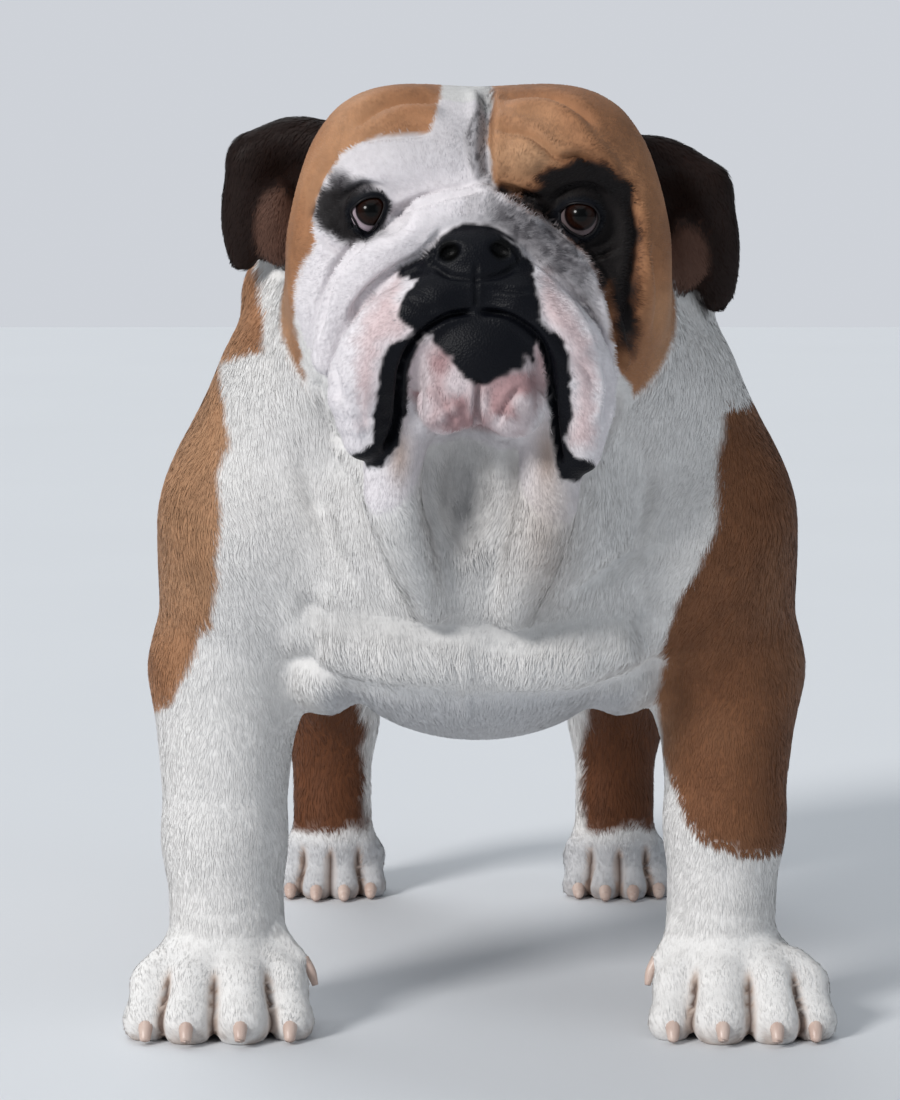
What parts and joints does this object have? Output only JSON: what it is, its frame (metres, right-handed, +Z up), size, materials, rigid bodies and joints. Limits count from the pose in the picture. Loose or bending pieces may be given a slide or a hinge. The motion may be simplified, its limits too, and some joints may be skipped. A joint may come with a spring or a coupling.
{
  "type": "dog model",
  "caption": "Life-size standing English bulldog, a still museum-style model with broad shoulders, folded face, dark ears and a tan and white coat.",
  "frame": {"origin": "middle of the bounding box on the floor between the four paws", "axes": "+Z up, the dog looks along -Y, its left side is +X, its right side is -X"},
  "size_m": [0.3931, 0.5776, 0.5288],
  "materials": {
    "coat_tan": "short smooth coat, red-brown tan",
    "coat_white": "short smooth coat, white",
    "coat_dark": "short smooth coat, brown-black",
    "nose_leather": "bare nose skin, black, fine pebbled, moist",
    "lip_skin": "thinly haired chin skin, pink and white with a black lip",
    "eye": "wet and shiny, dark red-brown iris",
    "horn": "claw horn, pale pinkish"
  },
  "bodies": {
    "root": {"head": "coat_tan", "nose": "nose_leather", "lower_jaw": "lip_skin", "eye_right": "eye", "eye_left": "eye", "neck": "coat_white", "chest": "coat_white", "loin": "coat_tan", "rump": "coat_tan", "ear_right": "coat_dark", "ear_left": "coat_dark", "tail": "coat_tan", "foreleg_right": "coat_white", "foreleg_left": "coat_white", "hindleg_right": "coat_tan", "hindleg_left": "coat_tan", "paw_fore_right": "coat_white", "paw_fore_left": "coat_white", "paw_hind_right": "coat_white", "paw_hind_left": "coat_white", "claw_fore_right_1": "horn", "claw_fore_right_2": "horn", "claw_fore_right_3": "horn", "claw_fore_right_4": "horn", "claw_fore_left_1": "horn", "claw_fore_left_2": "horn", "claw_fore_left_3": "horn", "claw_fore_left_4": "horn", "claw_hind_right_1": "horn", "claw_hind_right_2": "horn", "claw_hind_right_3": "horn", "claw_hind_right_4": "horn", "claw_hind_left_1": "horn", "claw_hind_left_2": "horn", "claw_hind_left_3": "horn", "claw_hind_left_4": "horn"}
  },
  "joints": []
}
